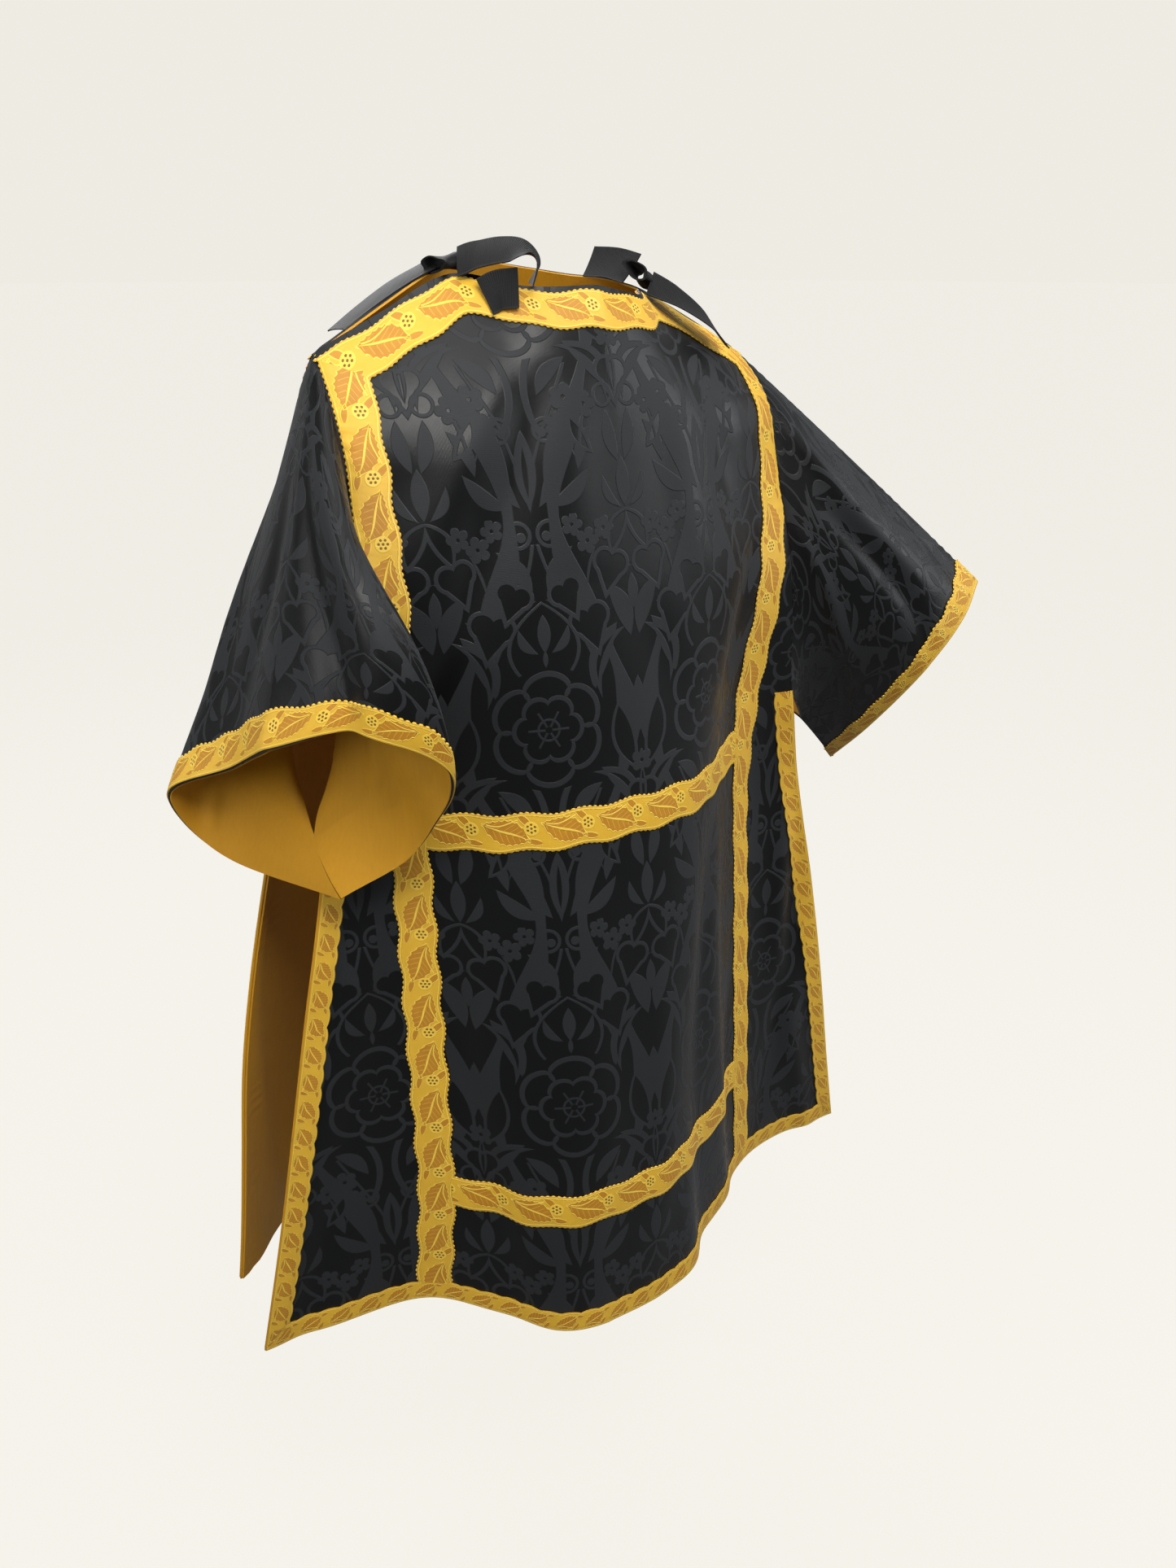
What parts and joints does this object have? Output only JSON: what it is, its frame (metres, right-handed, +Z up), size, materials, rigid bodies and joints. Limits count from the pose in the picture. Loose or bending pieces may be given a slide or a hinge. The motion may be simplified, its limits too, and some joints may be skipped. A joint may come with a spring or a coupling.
{
  "type": "worn dalmatic",
  "caption": "Black damask dalmatic in its worn, hollow shape, with wide sleeves, open sides, gold galloon bands, mustard lining and ribbon ties.",
  "frame": {"origin": "middle of the neck opening, at the height of the top of the shoulders, where the wearer holds it up", "axes": "+Z up; the front of the garment faces -Y; the wearer's left is +X"},
  "size_m": [0.9359, 0.4384, 1.106],
  "materials": {
    "damask": "black silk damask, satin figure on a dull ground",
    "galloon": "golden figured galloon with a picot edge",
    "lining": "mustard cotton sateen lining",
    "ribbon": "matte black grosgrain ribbon"
  },
  "bodies": {
    "root": {"back_lining": "lining", "back_panel": "damask", "border_galloon_back": "galloon", "border_galloon_front": "galloon", "cuff_galloon_left": "galloon", "cuff_galloon_right": "galloon", "front_lining": "lining", "front_panel": "damask", "lower_band_back": "galloon", "lower_band_front": "galloon", "neck_galloon_back": "galloon", "neck_galloon_front": "galloon", "ribbon_left_bow": "ribbon", "ribbon_left_strap": "ribbon", "ribbon_right_bow": "ribbon", "ribbon_right_long_tail": "ribbon", "ribbon_right_short_tail": "ribbon", "sleeve_left_back": "damask", "sleeve_left_front": "damask", "sleeve_left_lining": "lining", "sleeve_right_back": "damask", "sleeve_right_front": "damask", "sleeve_right_lining": "lining", "stripe_left_back": "galloon", "stripe_left_front": "galloon", "stripe_right_back": "galloon", "stripe_right_front": "galloon", "upper_band_back": "galloon", "upper_band_front": "galloon"}
  },
  "joints": []
}
